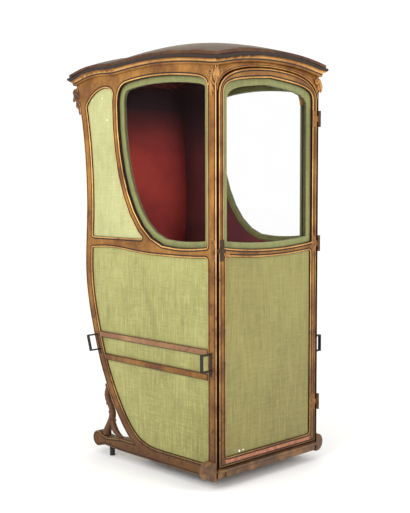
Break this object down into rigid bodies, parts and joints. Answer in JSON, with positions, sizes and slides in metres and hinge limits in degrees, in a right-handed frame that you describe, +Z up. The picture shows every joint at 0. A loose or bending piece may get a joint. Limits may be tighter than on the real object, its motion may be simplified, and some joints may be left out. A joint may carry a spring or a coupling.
{
  "type": "sedan chair",
  "caption": "Closed one-seat carrying chair with gilt wood frame, green fabric panels, arched windows, leather roof, hinged front door, staples for poles.",
  "frame": {"origin": "on the floor under the middle of the chair's overall box", "axes": "+Z up; the door faces -Y; +X is to the right of someone facing the door from outside, the side of the door's hinges"},
  "size_m": [0.708, 0.926, 1.7479],
  "materials": {
    "gilt_wood": "old gilding over carved wood, worn",
    "brown_wood": "dark stained wood, worn at the edges",
    "plain_oak": "plain aged wood",
    "iron": "forged iron, dark",
    "green_silk": "faded green silk velvet",
    "glass": "clear old glass",
    "roof_leather": "greyed leather",
    "crimson_lining": "crimson velvet"
  },
  "bodies": {
    "chair": {"runner_left": "brown_wood", "runner_right": "brown_wood", "front_sill": "brown_wood", "rear_crossbar": "plain_oak", "floor_bearers": "plain_oak", "floor_board": "plain_oak", "iron_feet": "iron", "front_toes": "brown_wood", "front_post_left": "gilt_wood", "front_post_right": "gilt_wood", "rear_post_left": "gilt_wood", "rear_post_right": "gilt_wood", "waist_rail_left": "gilt_wood", "waist_rail_right": "gilt_wood", "top_rail_left": "gilt_wood", "top_rail_right": "gilt_wood", "window_stile_left": "gilt_wood", "window_stile_right": "gilt_wood", "header_rail": "gilt_wood", "back_top_rail": "gilt_wood", "back_waist_rail": "gilt_wood", "back_panel_upper": "green_silk", "back_panel_lower": "green_silk", "quarter_panel_left": "green_silk", "quarter_panel_right": "green_silk", "lower_panel_left": "green_silk", "lower_panel_right": "green_silk", "pole_bands_left": "gilt_wood", "pole_bands_right": "gilt_wood", "pole_staples": "iron", "side_sash_left": "green_silk", "side_sash_right": "green_silk", "side_glass_left": "glass", "side_glass_right": "glass", "cornice": "gilt_wood", "roof": "roof_leather", "ceiling_lining": "crimson_lining", "side_lining_left": "crimson_lining", "side_lining_right": "crimson_lining", "back_lining": "crimson_lining", "seat_riser": "crimson_lining", "seat_board": "plain_oak", "seat_cushion": "crimson_lining", "rear_brackets": "brown_wood", "front_carvings": "gilt_wood", "rear_carvings": "gilt_wood", "hinge_plates": "iron", "latch_keeper": "iron"},
    "door": {"door_stiles": "gilt_wood", "door_top_rail": "gilt_wood", "door_waist_rail": "gilt_wood", "door_foot_rail": "brown_wood", "door_panel": "green_silk", "door_lining": "crimson_lining", "door_sash": "green_silk", "door_glass": "glass", "door_hinges": "iron", "door_latch": "iron"}
  },
  "joints": [
    {"name": "door_hinge", "type": "hinge", "parent": "chair", "child": "door", "pos_m": [0.299, -0.439, 0.85], "axis": [0, 0, 1], "range_deg": [0, 110]}
  ]
}
